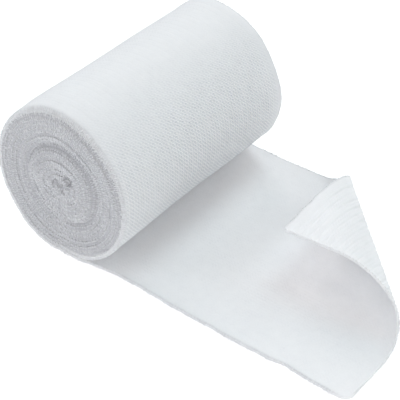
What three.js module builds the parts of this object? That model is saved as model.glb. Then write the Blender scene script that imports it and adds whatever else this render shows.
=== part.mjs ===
import * as THREE from 'three';

// An elastic crepe bandage lying on its side. It is one woven strip: most of it is wound into a
// roll, its tail runs out flat on the surface, and the far corner of the free end is turned back
// over the tail in a soft, hollow fold. Lengths are in millimetres, with +Z up, +X along the tail
// towards the free end and +Y along the axis of the roll. The origin is in the middle of the
// bandage's footprint, on the surface that it rests on.

// The strip
const CLOTH_WIDTH = 100;
const CLOTH_THICKNESS = 1.4;
const CUT_CORNER_RADIUS = 3.5;

// The roll. The cloth is soft: the roll is flattened where it stands, its core is squashed a
// little, and the edges of its turns wander by the set-back and the skew, except at its foot.
const ROLL_DIAMETER = 66.4;
const WINDING_GAP = 0.6;
const CORE_DIAMETER = 4.4;
const REST_FLAT_WIDTH = 12;
const NEAR_EDGE_SET_BACK = 2.8;
const FAR_EDGE_SKEW = 3.2;
const FOOT_EASE = THREE.MathUtils.degToRad(18);
const CORE_SQUASH = 0.2;
const CORE_SQUASH_REACH = 8;

// The tail and its turned corner. The fold starts on the far edge, past the flat length, and
// crosses the strip at the fold angle. Its section is a tight rising bend, a wider bend back over
// the tail, and a straight flap.
const FLAT_LENGTH = 50;
const TURNED_LENGTH = 82;
const FOLD_ANGLE = THREE.MathUtils.degToRad(43.7);
const RISE_RADIUS = 9.3;
const RISE_TURN = THREE.MathUtils.degToRad(122.7);
const BACK_RADIUS = 19.1;
const BACK_TURN = THREE.MathUtils.degToRad(60);

// Facets
const WINDING_FACET_SAG = 0.08;
const FOLD_FACET = 4.2;
const CORNER_FACETS = 3;

const HALF_WIDTH = CLOTH_WIDTH / 2;
const HALF_THICKNESS = CLOTH_THICKNESS / 2;
const FULL_TURN = 2 * Math.PI;
const CUT_END = FLAT_LENGTH + TURNED_LENGTH;
const WINDING_PITCH = CLOTH_THICKNESS + WINDING_GAP;
const ROLL_RADIUS = ROLL_DIAMETER / 2 + WINDING_PITCH / 4;
const OUTER_WINDING_RADIUS = ROLL_RADIUS - HALF_THICKNESS;
const INNER_WINDING_RADIUS = CORE_DIAMETER / 2 + HALF_THICKNESS;
const WOUND_ANGLE = (FULL_TURN * (OUTER_WINDING_RADIUS - INNER_WINDING_RADIUS)) / WINDING_PITCH;
const FLATTENING = ROLL_RADIUS - Math.sqrt(ROLL_RADIUS ** 2 - (REST_FLAT_WIDTH / 2) ** 2);
const AXIS_HEIGHT = ROLL_RADIUS - FLATTENING;

// Distance from the axis to the middle of the cloth, at an angle wound back from the foot.
function windingRadius(angle) {
  return OUTER_WINDING_RADIUS - (WINDING_PITCH * angle) / FULL_TURN;
}

// The middle of the cloth in the roll, in the plane across its axis. The foot is at angle zero,
// and the winding goes away from the tail, up, over the top and down.
function windingPoint(angle) {
  const radius = windingRadius(angle);
  const squash = CORE_SQUASH * Math.exp(-radius / CORE_SQUASH_REACH) * Math.cos(2 * angle);
  const foot = (OUTER_WINDING_RADIUS - FLATTENING) / (OUTER_WINDING_RADIUS * Math.cos(angle));
  const flattened = Math.cos(angle) > 0 ? Math.min(1, foot) : 1;
  const reach = radius * (1 - squash) * flattened;
  return new THREE.Vector2(-reach * Math.sin(angle), AXIS_HEIGHT - reach * Math.cos(angle));
}

// Direction of the cloth towards its free end, in the same plane.
function windingDirection(angle) {
  const step = 0.001;
  const ahead = windingPoint(angle - step);
  const behind = windingPoint(angle + step);
  return ahead.sub(behind).normalize();
}

// One row of the strip holds the two faces of the cloth from the near edge to the far edge. The
// upper face is the one that looks up on the tail and inwards in the roll.
function makeRow(points, normals) {
  const offset = (side) => (point, index) =>
    point.clone().addScaledVector(normals[index], side * HALF_THICKNESS);
  return { upper: points.map(offset(1)), lower: points.map(offset(-1)) };
}

// How far the edges are free to wander at an angle: not at all at the foot of the roll.
function wander(angle) {
  const fromFoot = Math.atan2(Math.sin(angle), Math.cos(angle));
  return 1 - Math.exp(-((fromFoot / FOOT_EASE) ** 2));
}

// A row of the roll has its two edges only. The near edge is set back above the axis and stands
// out below it, and the far edge is skewed to the side away from the tail.
function woundRow(angle) {
  const section = windingPoint(angle);
  const direction = windingDirection(angle);
  const normal = new THREE.Vector3(-direction.y, 0, direction.x);
  const height = (section.y - AXIS_HEIGHT) / ROLL_RADIUS;
  const side = section.x / ROLL_RADIUS;
  const nearY = -HALF_WIDTH + NEAR_EDGE_SET_BACK * height * wander(angle);
  const farY = HALF_WIDTH - FAR_EDGE_SKEW * side * wander(angle);
  const near = new THREE.Vector3(section.x, nearY, section.y);
  const far = new THREE.Vector3(section.x, farY, section.y);
  return makeRow([near, far], [normal, normal]);
}

function windingRows() {
  const rows = [];
  for (let angle = 0; angle < WOUND_ANGLE; ) {
    rows.push(woundRow(angle));
    angle += 2 * Math.acos(1 - WINDING_FACET_SAG / windingRadius(angle));
  }
  rows.push(woundRow(WOUND_ANGLE));
  return rows.reverse();
}

// Section of the fold at a distance across it: how far the cloth has gone over, how high it is
// and how far it has turned.
function foldSection(distance) {
  const riseLength = RISE_RADIUS * RISE_TURN;
  const backLength = BACK_RADIUS * BACK_TURN;
  if (distance <= 0) {
    return { over: distance, height: 0, turn: 0 };
  }
  const riseTurn = Math.min(distance / RISE_RADIUS, RISE_TURN);
  const backTurn = THREE.MathUtils.clamp((distance - riseLength) / BACK_RADIUS, 0, BACK_TURN);
  const straight = Math.max(0, distance - riseLength - backLength);
  const turn = riseTurn + backTurn;
  return {
    over:
      RISE_RADIUS * Math.sin(riseTurn) +
      BACK_RADIUS * (Math.sin(turn) - Math.sin(riseTurn)) +
      straight * Math.cos(turn),
    height:
      RISE_RADIUS * (1 - Math.cos(riseTurn)) +
      BACK_RADIUS * (Math.cos(riseTurn) - Math.cos(turn)) +
      straight * Math.sin(turn),
    turn,
  };
}

// Where a point of the flat tail goes when its corner is turned back.
function foldPoint(along, across) {
  const crease = new THREE.Vector2(Math.cos(FOLD_ANGLE), -Math.sin(FOLD_ANGLE));
  const overward = new THREE.Vector2(Math.sin(FOLD_ANGLE), Math.cos(FOLD_ANGLE));
  const start = new THREE.Vector2(FLAT_LENGTH, HALF_WIDTH);
  const fromStart = new THREE.Vector2(along, across).sub(start);
  const section = foldSection(fromStart.dot(overward));
  const place = start
    .addScaledVector(crease, fromStart.dot(crease))
    .addScaledVector(overward, section.over);
  const lean = overward.multiplyScalar(-Math.sin(section.turn));
  return {
    point: new THREE.Vector3(place.x, place.y, HALF_THICKNESS + section.height),
    normal: new THREE.Vector3(lean.x, lean.y, Math.cos(section.turn)),
  };
}

// The corners of the cut end are a little rounded, so the last rows are narrower.
function cornerInset(along) {
  const fromCorner = along - (CUT_END - CUT_CORNER_RADIUS);
  const intoCorner = THREE.MathUtils.clamp(fromCorner, 0, CUT_CORNER_RADIUS);
  return CUT_CORNER_RADIUS - Math.sqrt(CUT_CORNER_RADIUS ** 2 - intoCorner ** 2);
}

function foldRow(along) {
  const columns = Math.ceil(CLOTH_WIDTH / FOLD_FACET);
  const reach = HALF_WIDTH - cornerInset(along);
  const places = [];
  for (let column = 0; column <= columns; column += 1) {
    places.push(foldPoint(along, reach * ((2 * column) / columns - 1)));
  }
  return makeRow(
    places.map((place) => place.point),
    places.map((place) => place.normal),
  );
}

function foldRows() {
  const rows = [];
  const straightLength = TURNED_LENGTH - CUT_CORNER_RADIUS;
  const steps = Math.ceil(straightLength / FOLD_FACET);
  for (let step = 0; step <= steps; step += 1) {
    rows.push(foldRow(FLAT_LENGTH + (straightLength * step) / steps));
  }
  for (let step = 1; step <= CORNER_FACETS; step += 1) {
    const aroundCorner = (Math.PI / 2) * (step / CORNER_FACETS);
    rows.push(foldRow(CUT_END - CUT_CORNER_RADIUS * (1 - Math.sin(aroundCorner))));
  }
  return rows;
}

// Triangles between two lines of vertices, which may have different counts. Each step goes on
// along the line that is behind, so equal lines are split along the crease of the fold.
function zip(lineA, lineB, addTriangle) {
  let a = 0;
  let b = 0;
  const lastA = lineA.length - 1;
  const lastB = lineB.length - 1;
  while (a < lastA || b < lastB) {
    if (a < lastA && (b === lastB || (a + 1) / lastA <= (b + 1) / lastB)) {
      addTriangle(lineA[a], lineB[b], lineA[a + 1]);
      a += 1;
    } else {
      addTriangle(lineA[a], lineB[b], lineB[b + 1]);
      b += 1;
    }
  }
}

function buildStrip(rows) {
  const positions = [];
  const indices = [];
  const addTriangle = (a, b, c) => indices.push(a, b, c);
  const addTurned = (a, b, c) => indices.push(a, c, b);
  const addLine = (points) =>
    points.map((point) => {
      positions.push(point.x, point.y, point.z);
      return positions.length / 3 - 1;
    });
  const lines = rows.map((row) => ({ upper: addLine(row.upper), lower: addLine(row.lower) }));
  const nearEdge = (line) => [line.lower.at(0), line.upper.at(0)];
  const farEdge = (line) => [line.lower.at(-1), line.upper.at(-1)];
  for (let index = 1; index < lines.length; index += 1) {
    const behind = lines[index - 1];
    const ahead = lines[index];
    zip(behind.upper, ahead.upper, addTriangle);
    zip(behind.lower, ahead.lower, addTurned);
    zip(nearEdge(behind), nearEdge(ahead), addTriangle);
    zip(farEdge(behind), farEdge(ahead), addTurned);
  }
  zip(lines.at(0).upper, lines.at(0).lower, addTurned);
  zip(lines.at(-1).upper, lines.at(-1).lower, addTriangle);
  const geometry = new THREE.BufferGeometry();
  geometry.setAttribute('position', new THREE.Float32BufferAttribute(positions, 3));
  geometry.setIndex(indices);
  geometry.computeVertexNormals();
  return geometry;
}

function makeStrip() {
  const geometry = buildStrip([...windingRows(), ...foldRows()]);
  const material = new THREE.MeshStandardMaterial({
    color: 0xe4e9ec,
    roughness: 0.95,
    metalness: 0,
  });
  const strip = new THREE.Mesh(geometry, material);
  strip.name = 'bandage_strip';
  geometry.computeBoundingBox();
  const middle = geometry.boundingBox.getCenter(new THREE.Vector3());
  strip.position.set(-middle.x, -middle.y, -geometry.boundingBox.min.z);
  return strip;
}

const bandage = new THREE.Group();
bandage.add(makeStrip());

export default bandage;
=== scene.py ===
"""An elastic crepe bandage on its side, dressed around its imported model.

The bandage is one woven strip. Most of it is wound into a roll, its tail runs out flat, and the
far corner of the free end is turned back over the tail. The strip, the loops of its two
selvages and the yarn ends of its cut end are separate pieces that follow one form.
"""

import logging
import math
from abc import ABC, abstractmethod
from dataclasses import dataclass
from enum import Enum
from typing import Sequence

import bpy
import numpy as np
from mathutils import Matrix, Vector


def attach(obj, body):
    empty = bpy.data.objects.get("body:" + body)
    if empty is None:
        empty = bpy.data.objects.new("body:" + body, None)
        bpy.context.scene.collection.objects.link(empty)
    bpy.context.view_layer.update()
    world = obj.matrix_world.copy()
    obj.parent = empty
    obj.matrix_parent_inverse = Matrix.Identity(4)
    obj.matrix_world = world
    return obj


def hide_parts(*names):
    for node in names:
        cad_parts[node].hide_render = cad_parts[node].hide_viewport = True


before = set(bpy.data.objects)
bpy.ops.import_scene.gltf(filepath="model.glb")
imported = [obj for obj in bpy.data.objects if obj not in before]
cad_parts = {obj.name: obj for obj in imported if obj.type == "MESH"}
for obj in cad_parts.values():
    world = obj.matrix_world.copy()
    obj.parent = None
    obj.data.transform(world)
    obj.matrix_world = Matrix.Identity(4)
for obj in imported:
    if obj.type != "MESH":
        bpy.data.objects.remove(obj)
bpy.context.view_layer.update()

LOG = logging.getLogger("bandage")
MM = 0.001
STRIP_NODE = "bandage_strip"
STRIP_COORDS = "strip_mm"
FOOT_OF_ROLL = (-49.41, -0.44, 0.0)  # middle of the roll's foot in the row frame, mm
DAYLIGHT = (0.99, 0.995, 1.02)  # tint of every soft light

Colour = tuple[float, float, float, float]
Span = tuple[float, float]


class Selvage(Enum):
    """The two woven edges of the strip, by the side of its middle that they lie on."""

    NEAR = -1
    FAR = 1


class Ripple:
    """Smooth unevenness that is the same in every run: a sum of seeded plane waves."""

    def __init__(self, seed: int, wavelengths: Sequence[float], waves: int = 8) -> None:
        """Draws the waves.

        Args:
            seed: Seed of the random draws.
            wavelengths: Shortest wavelength along each coordinate.
            waves: How many waves are added up.
        """
        draw = np.random.default_rng(seed)
        self.slopes = draw.uniform(-1, 1, (waves, len(wavelengths)))
        self.slopes *= 2 * math.pi / np.asarray(wavelengths)
        self.phases = draw.uniform(0, 2 * math.pi, waves)

    def __call__(self, *coords: np.ndarray) -> np.ndarray:
        """Adds up the waves.

        Args:
            *coords: One array for each coordinate.

        Returns:
            The unevenness there, mostly from -1 to 1.
        """
        total = 0.0
        for slope, phase in zip(self.slopes, self.phases):
            total = total + np.sin(sum(s * c for s, c in zip(slope, coords)) + phase)
        return total / math.sqrt(len(self.phases))


UNEVEN_TURNS = Ripple(11, (38, 9))  # by distance along the strip and from the roll's axis
UNEVEN_RINGS = Ripple(12, (4.2,))  # by distance from the roll's axis
UNEVEN_EDGES = Ripple(21, (9,))  # by distance along the strip
UNEVEN_RIBS = Ripple(31, (11, 7))  # by distance along and across the strip
WARP_ALONG = Ripple(3, (30, 60, 30))  # by the three coordinates of a place in the roll
WARP_UP = Ripple(4, (30, 60, 30))  # likewise


def smooth(value: np.ndarray, start: float, end: float) -> np.ndarray:
    """Rises smoothly from 0 at start to 1 at end, or falls where end is below start."""
    share = np.clip((value - start) / (end - start), 0, 1)
    return share * share * (3 - 2 * share)


@dataclass(frozen=True)
class EdgeShift:
    """How far the two edges of the cloth stand aside at one place.

    Attributes:
        at: Distance from the roll's axis, or along the tail from the roll's foot, mm.
        near: How far the near edge stands back, or out in the tail, mm.
        far: How far the far edge stands back, or out in the tail, mm.
    """

    at: float
    near: float
    far: float


ENDS_OF_ROLL = (
    EdgeShift(at=0.0, near=0.3, far=0.6),
    EdgeShift(at=6.0, near=-0.1, far=0.2),
    EdgeShift(at=12.0, near=-0.8, far=-0.3),
    EdgeShift(at=14.6, near=-0.4, far=0.1),
    EdgeShift(at=17.0, near=2.2, far=0.8),
    EdgeShift(at=20.5, near=0.5, far=0.1),
    EdgeShift(at=24.0, near=0.0, far=-0.2),
    EdgeShift(at=29.0, near=0.0, far=0.0),
    EdgeShift(at=34.0, near=0.2, far=-0.4),
)

EDGES_OF_TAIL = (
    EdgeShift(at=0, near=1.7, far=0.0),
    EdgeShift(at=8, near=1.5, far=-0.1),
    EdgeShift(at=16, near=0.1, far=-0.5),
    EdgeShift(at=24, near=-0.8, far=-0.8),
    EdgeShift(at=36, near=-1.2, far=-1.0),
    EdgeShift(at=44, near=-0.8, far=-0.9),
    EdgeShift(at=52, near=-0.1, far=-0.7),
    EdgeShift(at=90, near=-0.1, far=-0.3),
    EdgeShift(at=100, near=-0.6, far=-0.2),
    EdgeShift(at=105, near=-1.5, far=-0.2),
    EdgeShift(at=110, near=-0.9, far=-0.2),
    EdgeShift(at=117, near=-0.3, far=-0.2),
)


def edge_shifts(table: Sequence[EdgeShift], place: np.ndarray) -> tuple[np.ndarray, np.ndarray]:
    """Reads a table of edge shifts between its rows.

    Args:
        table: The table.
        place: Where to read it, mm.

    Returns:
        Shifts of the near and the far edge, mm.
    """
    rows = [row.at for row in table]
    near = np.interp(place, rows, [row.near for row in table])
    return near, np.interp(place, rows, [row.far for row in table])


@dataclass(frozen=True)
class EndPit:
    """A small pit in the near end of the roll, where a turn is crumpled.

    Attributes:
        radius: Distance from the roll's axis, mm.
        angle: Angle wound back from the foot, degrees.
        width: Width of the pit, mm.
        depth: Depth of the pit, mm. A bulge is below zero.
    """

    radius: float
    angle: float
    width: float
    depth: float

    def depth_at(self, x: np.ndarray, height: np.ndarray) -> np.ndarray:
        """Depth of the pit at places on the end of the roll.

        Args:
            x: Distances along X from the roll's axis, mm.
            height: Heights above the roll's axis, mm.

        Returns:
            The depths, mm.
        """
        turned = math.radians(self.angle)
        aside = x + self.radius * math.sin(turned)
        above = height + self.radius * math.cos(turned)
        return self.depth * np.exp(-(aside**2 + above**2) / self.width**2)


END_PITS = (
    EndPit(radius=4.6, angle=229, width=1.5, depth=13.0),
    EndPit(radius=7.8, angle=54, width=1.1, depth=3.0),
    EndPit(radius=3.2, angle=119, width=1.3, depth=2.2),
    EndPit(radius=2.2, angle=333, width=1.0, depth=2.4),
    EndPit(radius=10.5, angle=105, width=5.0, depth=-2.0),
    EndPit(radius=17.5, angle=250, width=8.0, depth=0.5),
)


@dataclass(frozen=True)
class StripForm:
    """Sizes of the strip in mm and radians, and where each point of the flat cloth lies.

    A point of the cloth is given by its distance along the strip from the foot of the roll,
    below zero in the roll and above it in the tail, its distance across from the middle, and
    its lift from the middle of the cloth towards the face that looks up on the tail. A span
    gives where a smooth change starts and where it is complete.
    """

    # The cloth, its selvages and its cut corners
    width: float = 100.0
    thickness: float = 1.4
    edge_round: float = 0.42
    selvage_span: Span = (5.0, 1.2)
    selvage_half: float = 0.82
    packed_share: float = 0.985
    packed_until: float = -12.0
    near_corner_radius: float = 4.2
    far_corner_radius: float = 1.8

    # The ribs
    rib_spacing: float = 1.49
    rib_wave: float = 0.3
    rib_alternation: float = 0.2
    rib_depth: float = 0.1
    rib_unevenness: float = 0.35
    rib_span: Span = (1.5, 4.0)
    rib_lead: float = 6.0
    turned_ribs: float = 2.4
    turned_span: Span = (62.0, 84.0)
    upper_ribs: float = 0.12
    cut_scallop: float = 0.55
    cut_reach: float = 2.5

    # How far the weave is drawn open
    slack: float = 0.92
    slack_span: Span = (-95.0, 0.0)
    crest_place: float = 105.0
    crest_reach: float = 22.0
    crest_ease: float = 0.92
    near_ease: float = 0.22
    near_ease_span: Span = (-8.0, -38.0)

    # The roll
    roll_diameter: float = 66.4
    winding_gap: float = 0.6
    core_diameter: float = 0.8
    rest_flat_width: float = 12.0
    core_squash: float = 0.2
    core_squash_reach: float = 8.0
    warp: float = 0.35
    warp_height_span: Span = (2.0, 14.0)
    warp_radius_span: Span = (4.0, 13.0)

    # The ends of the roll
    near_edge_set_back: float = 2.8
    far_edge_skew: float = 2.4
    foot_ease: float = math.radians(18)
    foot_lean: float = 0.61
    ring_depth: float = 0.3
    turn_wander: float = 0.2
    far_turn_shift: float = 500.0
    shoulder_side: float = math.radians(190)
    shoulder_set_back: float = 3.0
    shoulder_height: float = 6.0
    shoulder_limit: float = 0.98
    near_droop: float = 2.6
    near_droop_reach: float = 15.0
    far_droop: float = 0.3
    far_droop_reach: float = 4.0
    droop_span: Span = (8.0, 34.0)

    # The tail and its turned corner
    flat_length: float = 50.0
    turned_length: float = 82.0
    fold_angle: float = math.radians(43.7)
    rise_radius: float = 9.3
    rise_turn: float = math.radians(122.7)
    back_radius: float = 19.1
    back_turn: float = math.radians(60)
    edge_sharpness: int = 6
    edge_wave: float = 0.13
    edge_wave_span: Span = (-10.0, 15.0)
    edge_wave_shift: float = 60.0
    edge_lift: float = 0.3
    edge_lift_span: Span = (46.0, 50.0)
    tail_lift_span: Span = (-25.0, -8.0)

    @property
    def pitch(self) -> float:
        """Distance from one turn of the roll to the next."""
        return self.thickness + self.winding_gap

    @property
    def roll_radius(self) -> float:
        """Outer radius of the roll at its foot."""
        return self.roll_diameter / 2 + self.pitch / 4

    @property
    def outer_radius(self) -> float:
        """Radius of the middle of the cloth at the foot of the roll."""
        return self.roll_radius - self.thickness / 2

    @property
    def inner_radius(self) -> float:
        """Radius of the middle of the cloth where the winding starts."""
        return self.core_diameter / 2 + self.thickness / 2

    @property
    def flattening(self) -> float:
        """How much of the radius the flat at the foot takes away."""
        return self.roll_radius - math.sqrt(self.roll_radius**2 - (self.rest_flat_width / 2) ** 2)

    @property
    def axis_height(self) -> float:
        """Height of the roll's axis."""
        return self.roll_radius - self.flattening

    @property
    def cut_end(self) -> float:
        """Distance along the strip of its cut end."""
        return self.flat_length + self.turned_length

    @property
    def wound_length(self) -> float:
        """Length of cloth in the roll."""
        return math.pi * (self.outer_radius**2 - self.inner_radius**2) / self.pitch

    @property
    def outer_turn_length(self) -> float:
        """Length of the outermost turn, with a little to spare."""
        return 2 * math.pi * (self.outer_radius - self.pitch / 2) + self.pitch

    def wound_angle(self, along: np.ndarray) -> np.ndarray:
        """How far the strip is wound back from the foot of the roll.

        Args:
            along: Distances along the strip from the foot of the roll, mm.

        Returns:
            The angles.
        """
        left = self.outer_radius**2 + self.pitch * np.minimum(along, 0) / math.pi
        radius = np.sqrt(np.maximum(left, 0))
        return 2 * math.pi * (self.outer_radius - radius) / self.pitch

    def wound_middle(self, angle: np.ndarray) -> tuple[np.ndarray, np.ndarray, np.ndarray]:
        """Middle of the cloth in the roll, in the plane across its axis.

        Args:
            angle: Angle wound back from the foot.

        Returns:
            Distance along X and height of the point, and its radius before any flattening.
        """
        radius = self.outer_radius - self.pitch * angle / (2 * math.pi)
        squash = self.core_squash * np.exp(-radius / self.core_squash_reach) * np.cos(2 * angle)
        upright = np.cos(angle)
        foot = (self.outer_radius - self.flattening) / self.outer_radius
        flattened = np.where(upright > 0, np.minimum(1, foot / np.maximum(upright, 1e-6)), 1)
        reach = radius * (1 - squash) * flattened
        return -reach * np.sin(angle), self.axis_height - reach * upright, radius

    def wander(self, angle: np.ndarray) -> np.ndarray:
        """How far the edges are free to wander at an angle: not at all at the foot."""
        from_foot = np.arctan2(np.sin(angle), np.cos(angle))
        return 1 - np.exp(-((from_foot / self.foot_ease) ** 2))

    def half_thickness(self, along: np.ndarray, across: np.ndarray) -> np.ndarray:
        """Half the thickness of the cloth, fuller at the selvages, before its edge is rounded.

        Args:
            along: Distances along the strip from the foot of the roll, mm.
            across: Distances from the middle of the strip, mm.

        Returns:
            The half thicknesses, mm.
        """
        from_edge = self.width / 2 - np.abs(across)
        packed = self.pitch / 2 * self.packed_share
        full = np.where(along < self.packed_until, packed, self.selvage_half)
        thin = self.thickness / 2
        return thin + (full - thin) * smooth(from_edge, *self.selvage_span)

    def tension(self, along: np.ndarray, across: np.ndarray) -> np.ndarray:
        """How far the weave is drawn open, from 0 to 1.

        It is drawn open most on the sides of the roll, less on its crest and towards its near
        end, and least in the tail. It also sets how much painted shade the weave's hollows get,
        so the cloth is painted lighter where the weave is eased.

        Args:
            along: Distances along the strip from the foot of the roll, mm.
            across: Distances from the middle of the strip, mm.

        Returns:
            The tensions.
        """
        crest = np.exp(-(((along + self.crest_place) / self.crest_reach) ** 2))
        rolled = 1 - self.slack * smooth(along, *self.slack_span)
        near = 1 - self.near_ease * smooth(across, *self.near_ease_span)
        return rolled * (1 - self.crest_ease * crest) * near

    def ribs(self, along: np.ndarray, across: np.ndarray) -> np.ndarray:
        """Lift of the cloth's lengthwise ribs, which are high and low by turns.

        Args:
            along: Distances along the strip from the foot of the roll, mm.
            across: Distances from the middle of the strip, mm.

        Returns:
            The lifts, mm.
        """
        turn = math.pi * across / self.rib_spacing
        waves = 0.5 + self.rib_wave * np.cos(2 * turn) + self.rib_alternation * np.cos(turn)
        on_edge = smooth(self.width / 2 - np.abs(across), *self.rib_span)
        first = -self.outer_turn_length
        shown = smooth(along, first - self.rib_lead, first)
        near_cut = np.exp(-(self.cut_end - along).clip(0) / self.cut_reach)
        turned = 1 + self.turned_ribs * smooth(along, *self.turned_span)
        depth = self.rib_depth * turned * (1 + self.rib_unevenness * UNEVEN_RIBS(along, across))
        depth = depth + (self.cut_scallop - depth) * near_cut
        return depth * waves * on_edge * shown

    def _shoulder(self, angle: np.ndarray) -> np.ndarray:
        """How soft the near end's shoulder is at an angle, from 0 to 1."""
        return (0.5 + 0.5 * np.cos(angle - self.shoulder_side)) ** 2

    def _droop(self, angle: np.ndarray, across: np.ndarray, radius: np.ndarray) -> np.ndarray:
        """How far the outer turns sink in towards the axis near their edges.

        Args:
            angle: Angles wound back from the foot.
            across: Distances from the middle of the strip, mm.
            radius: Distances from the roll's axis, mm.

        Returns:
            The depths, mm.
        """
        near = across < 0
        reach = np.where(near, self.near_droop_reach, self.far_droop_reach)
        depth = np.where(near, self.near_droop * self._shoulder(angle), self.far_droop)
        into = 1 - (self.width / 2 - np.abs(across)).clip(0, reach) / reach
        sunk = depth * (1 - np.sqrt(1 - into**2))
        return sunk * smooth(radius, *self.droop_span) * self.wander(angle)

    def _rounding(self, depth: np.ndarray) -> np.ndarray:
        """How far a round shoulder stands back, from 0 to 1, at depths below the roll's surface."""
        into = 1 - depth.clip(0, self.shoulder_height) / self.shoulder_height
        return 1 - np.sqrt(1 - into.clip(0, self.shoulder_limit) ** 2)

    def _edges(
        self,
        along: np.ndarray,
        angle: np.ndarray,
        middle: tuple[np.ndarray, np.ndarray, np.ndarray],
        lift: np.ndarray,
    ) -> tuple[np.ndarray, np.ndarray]:
        """Where the edges of the turns stand at the two ends of the roll.

        Args:
            along: Distances along the strip from the foot of the roll, mm.
            angle: Angles wound back from the foot.
            middle: What wound_middle gives.
            lift: Distances from the middle of the cloth, mm.

        Returns:
            Places of the near and the far edge along Y, mm.
        """
        x, z, radius = middle
        height = (z - self.axis_height) / self.roll_radius
        free = self.wander(angle)
        lean = free + (1 - free) * self.foot_lean
        near = -self.width / 2 + self.near_edge_set_back * height * lean
        far = self.width / 2 - self.far_edge_skew * x / self.roll_radius * free
        rounding = self._rounding(self.roll_radius - radius + lift)
        near += self.shoulder_set_back * self._shoulder(angle) * rounding
        near_back, far_back = edge_shifts(ENDS_OF_ROLL, radius - lift)
        near += free * near_back
        far -= free * far_back
        for pit in END_PITS:
            near += pit.depth_at(x, z - self.axis_height)
        near += free * self.ring_depth * UNEVEN_RINGS(radius)
        near += free * self.turn_wander * UNEVEN_TURNS(along, radius)
        far += free * self.turn_wander * UNEVEN_TURNS(along + self.far_turn_shift, radius)
        return near, far

    def _wound(self, along: np.ndarray, across: np.ndarray, lift: np.ndarray) -> np.ndarray:
        """Places points of the roll.

        Args:
            along: Distances along the strip from the foot of the roll, mm.
            across: Distances from the middle of the strip, mm.
            lift: Distances from the middle of the cloth, mm.

        Returns:
            The points, in mm from under the roll's foot.
        """
        step = 0.001
        angle = self.wound_angle(along)
        middle = self.wound_middle(angle)
        ahead_x, ahead_z, _ = self.wound_middle(angle - step)
        back_x, back_z, _ = self.wound_middle(angle + step)
        run_x, run_z = ahead_x - back_x, ahead_z - back_z
        run = np.hypot(run_x, run_z)
        near, far = self._edges(along, angle, middle, lift)
        x, z, radius = middle
        y = near + (far - near) * (across / self.width + 0.5)
        inward = lift + self._droop(angle, across, radius)
        soft = self.warp * smooth(z, *self.warp_height_span)
        soft = soft * smooth(radius, *self.warp_radius_span)
        x = x + soft * WARP_ALONG(x, y, z) - inward * run_z / run
        z = z + soft * WARP_UP(x, y, z) + inward * run_x / run
        return np.stack([x, y, z], axis=-1)

    def _laid(self, along: np.ndarray, across: np.ndarray, lift: np.ndarray) -> np.ndarray:
        """Places points of the tail and its turned corner.

        Args:
            along: Distances along the strip from the foot of the roll, mm.
            across: Distances from the middle of the strip, mm.
            lift: Distances from the middle of the cloth, mm.

        Returns:
            The points, in mm from under the roll's foot.
        """
        crease = np.array([math.cos(self.fold_angle), -math.sin(self.fold_angle)])
        overward = np.array([math.sin(self.fold_angle), math.cos(self.fold_angle)])
        from_start = np.stack([along - self.flat_length, across - self.width / 2], axis=-1)
        distance = from_start @ overward
        rise_length = self.rise_radius * self.rise_turn
        back_length = self.back_radius * self.back_turn
        rise = np.clip(distance / self.rise_radius, 0, self.rise_turn)
        back = np.clip((distance - rise_length) / self.back_radius, 0, self.back_turn)
        straight = np.maximum(0, distance - rise_length - back_length)
        turn = rise + back
        over = (
            np.minimum(distance, 0)
            + self.rise_radius * np.sin(rise)
            + self.back_radius * (np.sin(turn) - np.sin(rise))
            + straight * np.cos(turn)
        )
        height = (
            self.thickness / 2
            + self.rise_radius * (1 - np.cos(rise))
            + self.back_radius * (np.cos(rise) - np.cos(turn))
            + straight * np.sin(turn)
        )
        over = over - lift * np.sin(turn)
        height = height + lift * np.cos(turn)
        along_crease = from_start @ crease
        x = self.flat_length + along_crease * crease[0] + over * overward[0]
        y = self.width / 2 + along_crease * crease[1] + over * overward[1]
        return np.stack([x, y, height], axis=-1)

    def place(self, along: np.ndarray, across: np.ndarray, lift: np.ndarray) -> np.ndarray:
        """Places points of the cloth.

        Args:
            along: Distances along the strip from the foot of the roll, mm.
            across: Distances from the middle of the strip, mm.
            lift: Distances from the middle of the cloth, mm.

        Returns:
            The points, in mm from under the roll's foot.
        """
        along, across, lift = np.broadcast_arrays(along, across, lift)
        edge = np.abs(across / (self.width / 2)) ** self.edge_sharpness * np.sign(across)
        wavy = self.edge_wave * UNEVEN_EDGES(along + self.edge_wave_shift * np.sign(across))
        near_out, far_out = edge_shifts(EDGES_OF_TAIL, along)
        run = np.where(across < 0, near_out, far_out) * (along >= 0)
        across = across + edge * (run + smooth(along, *self.edge_wave_span) * wavy)
        lifted = self.edge_lift * smooth(np.abs(across), *self.edge_lift_span)
        lift = lift + lifted * smooth(along, *self.tail_lift_span)
        points = np.empty(along.shape + (3,))
        wound = along < 0
        points[wound] = self._wound(along[wound], across[wound], lift[wound])
        points[~wound] = self._laid(along[~wound], across[~wound], lift[~wound])
        return points

    def corner_inset(self, along: np.ndarray, side: np.ndarray) -> np.ndarray:
        """How far a rounded corner of the cut end stands in from its selvage.

        Args:
            along: Distances along the strip, mm.
            side: Below zero towards the near selvage, above it towards the far one.

        Returns:
            The insets, mm.
        """
        radius = np.where(side < 0, self.near_corner_radius, self.far_corner_radius)
        into = np.clip(along - self.cut_end + radius, 0, radius)
        return radius - np.sqrt(radius**2 - into**2)


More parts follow.
